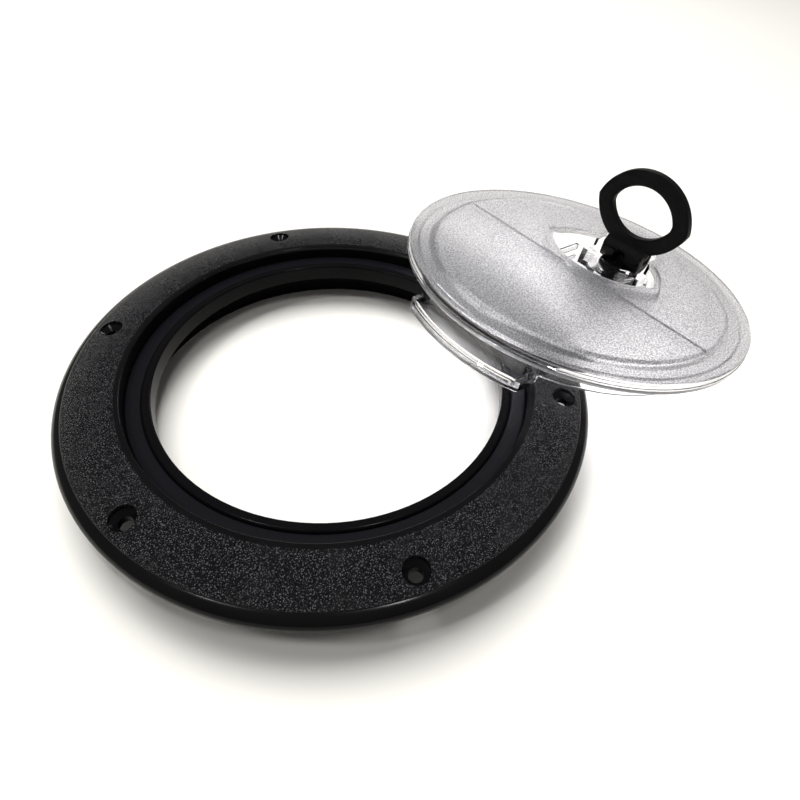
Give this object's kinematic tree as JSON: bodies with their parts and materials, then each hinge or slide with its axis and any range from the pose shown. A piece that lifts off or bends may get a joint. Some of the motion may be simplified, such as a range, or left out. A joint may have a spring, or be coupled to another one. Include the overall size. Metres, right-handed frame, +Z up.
{
  "type": "round deck hatch",
  "caption": "Round black deck hatch frame with a gasketed opening and a clear frosted lift-off lid that hooks in by a lug and locks with a folding ring handle and cam.",
  "frame": {"origin": "centre of the screw circle, on the underside of the flange where it meets the deck", "axes": "+Z up, out of the deck, along the hatch's axis; +X level, towards the low edge of the lid that leans on the frame"},
  "size_m": [0.2979, 0.205, 0.0693],
  "materials": {
    "black_plastic": "satin black, fine pebble grain on top, glossy rim",
    "seal_foam": "matt blue-black closed-cell foam",
    "clear_polycarbonate": "clear, frosted grain on the top face",
    "latch_plastic": "satin black moulding",
    "handle_plastic": "satin black moulding",
    "seal_rubber": "matt black rubber",
    "spring_steel": "plain spring steel",
    "stainless_steel": "plain stainless"
  },
  "bodies": {
    "frame": {"frame": "black_plastic", "gasket": "seal_foam"},
    "lid": {"lid": "clear_polycarbonate", "spindle_seal": "seal_rubber"},
    "latch": {"spindle": "latch_plastic", "pivot_pin": "stainless_steel", "cam": "latch_plastic", "disc_springs": "spring_steel", "washer": "stainless_steel", "cam_screw": "stainless_steel"},
    "handle": {"handle": "handle_plastic"}
  },
  "joints": [
    {"name": "lid_lift", "type": "slide", "parent": "frame", "child": "lid", "axis": [0, 0, 1], "range_m": [0, 0.1]},
    {"name": "handle_twist", "type": "hinge", "parent": "lid", "child": "latch", "pos_m": [0.16234, -0.00605, 0.01163], "axis": [0.1547, 0, 0.988], "range_deg": [0, 180]},
    {"name": "handle_fold", "type": "hinge", "parent": "latch", "child": "handle", "pos_m": [0.16191, -0.00605, 0.00886], "axis": [0.1375, -0.9903, -0.0215], "range_deg": [-43.9, 26.1]}
  ]
}
